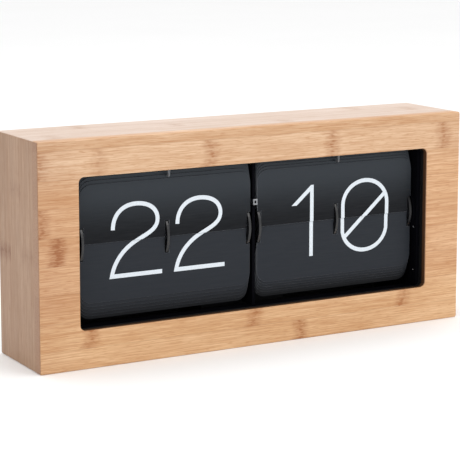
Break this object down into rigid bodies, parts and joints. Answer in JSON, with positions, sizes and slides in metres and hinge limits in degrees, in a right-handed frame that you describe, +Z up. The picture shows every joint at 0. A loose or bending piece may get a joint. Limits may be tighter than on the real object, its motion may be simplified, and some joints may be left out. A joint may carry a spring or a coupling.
{
  "type": "flip number clock",
  "caption": "Tabletop flip number clock in a wooden box, with leaf drums for hours and minutes, a gear train, a battery bay and a thumbwheel.",
  "frame": {"origin": "middle of the box's footprint, on the surface that the clock stands on", "axes": "+X to the display's right, -Y out of the numeral face, +Z up"},
  "size_m": [0.36, 0.072, 0.165],
  "materials": {
    "bamboo": "clear satin lacquer",
    "leaf_plastic": "matte anthracite sheet with white printed numerals",
    "black_plastic": "fine moulded black",
    "grey_plastic": "satin moulded grey",
    "gear_plastic": "natural acetal",
    "steel": "bright drawn steel",
    "cell_jacket": "plain printed jacket",
    "circuit_board": "green solder mask"
  },
  "bodies": {
    "case": {"battery_cell": "cell_jacket", "battery_plate": "steel", "battery_spring": "steel", "bottom_panel": "bamboo", "bottom_rail": "black_plastic", "centre_clip": "steel", "centre_plate": "black_plastic", "circuit_board": "circuit_board", "cover_screw_1": "steel", "cover_screw_2": "steel", "cover_screw_3": "steel", "cover_screw_4": "steel", "front_frame": "bamboo", "gearbox_plate": "black_plastic", "hour_catch": "grey_plastic", "hour_lower_leaf_1": "leaf_plastic", "hour_lower_leaf_2": "leaf_plastic", "hour_lower_leaf_3": "leaf_plastic", "hour_lower_leaf_4": "leaf_plastic", "hour_lower_leaf_5": "leaf_plastic", "hour_upper_leaf_1": "leaf_plastic", "hour_upper_leaf_2": "leaf_plastic", "hour_upper_leaf_3": "leaf_plastic", "left_panel": "bamboo", "left_plate": "black_plastic", "minute_catch": "grey_plastic", "minute_lower_leaf_1": "leaf_plastic", "minute_lower_leaf_2": "leaf_plastic", "minute_lower_leaf_3": "leaf_plastic", "minute_lower_leaf_4": "leaf_plastic", "minute_lower_leaf_5": "leaf_plastic", "minute_upper_leaf_1": "leaf_plastic", "minute_upper_leaf_2": "leaf_plastic", "minute_upper_leaf_3": "leaf_plastic", "motor": "steel", "rear_cover": "black_plastic", "rear_rail": "black_plastic", "right_panel": "bamboo", "right_plate": "black_plastic", "top_panel": "bamboo", "top_rail": "black_plastic"},
    "minute_drum": {"minute_axle": "steel", "minute_disc_left": "black_plastic", "minute_disc_centre": "black_plastic", "minute_disc_right": "black_plastic", "minute_pinion": "gear_plastic", "minute_gear": "gear_plastic"},
    "hour_drum": {"hour_axle": "steel", "hour_disc_left": "black_plastic", "hour_disc_centre": "black_plastic", "hour_disc_right": "black_plastic", "hour_gear": "gear_plastic"},
    "countershaft": {"countershaft": "steel", "countershaft_wheel": "gear_plastic", "countershaft_pinion": "gear_plastic"},
    "motor_rotor": {"motor_pinion": "gear_plastic"},
    "set_wheel": {"set_wheel": "grey_plastic"},
    "minute_leaf": {"minute_falling_leaf": "leaf_plastic"},
    "hour_leaf": {"hour_falling_leaf": "leaf_plastic"},
    "battery_door": {"battery_door": "black_plastic"}
  },
  "joints": [
    {"name": "minute_drum_spin", "type": "hinge", "parent": "case", "child": "minute_drum", "pos_m": [0, -0.003, 0.087], "axis": [1, 0, 0], "continuous": true},
    {"name": "hour_drum_spin", "type": "hinge", "parent": "case", "child": "hour_drum", "pos_m": [0, -0.003, 0.087], "axis": [1, 0, 0], "continuous": true},
    {"name": "countershaft_spin", "type": "hinge", "parent": "case", "child": "countershaft", "pos_m": [0, -0.003, 0.061], "axis": [1, 0, 0], "continuous": true},
    {"name": "motor_spin", "type": "hinge", "parent": "case", "child": "motor_rotor", "pos_m": [0, 0.021, 0.087], "axis": [1, 0, 0], "continuous": true},
    {"name": "set_wheel_spin", "type": "hinge", "parent": "case", "child": "set_wheel", "pos_m": [0, 0.02072, 0.11023], "axis": [1, 0, 0], "continuous": true},
    {"name": "minute_leaf_fall", "type": "hinge", "parent": "case", "child": "minute_leaf", "pos_m": [0.0729, -0.023, 0.087], "axis": [1, 0, 0], "range_deg": [0, 180]},
    {"name": "hour_leaf_fall", "type": "hinge", "parent": "case", "child": "hour_leaf", "pos_m": [-0.0729, -0.023, 0.087], "axis": [1, 0, 0], "range_deg": [0, 180]},
    {"name": "battery_door_swing", "type": "hinge", "parent": "case", "child": "battery_door", "pos_m": [0, 0.032, 0.014], "axis": [-1, 0, 0], "range_deg": [0, 90]}
  ],
  "couplings": [
    {"joint": "countershaft_spin", "follows": "minute_drum_spin", "ratio": -0.125},
    {"joint": "hour_drum_spin", "follows": "minute_drum_spin", "ratio": 0.020833},
    {"joint": "motor_spin", "follows": "minute_drum_spin", "ratio": -4},
    {"joint": "set_wheel_spin", "follows": "minute_drum_spin", "ratio": -1.3714}
  ]
}
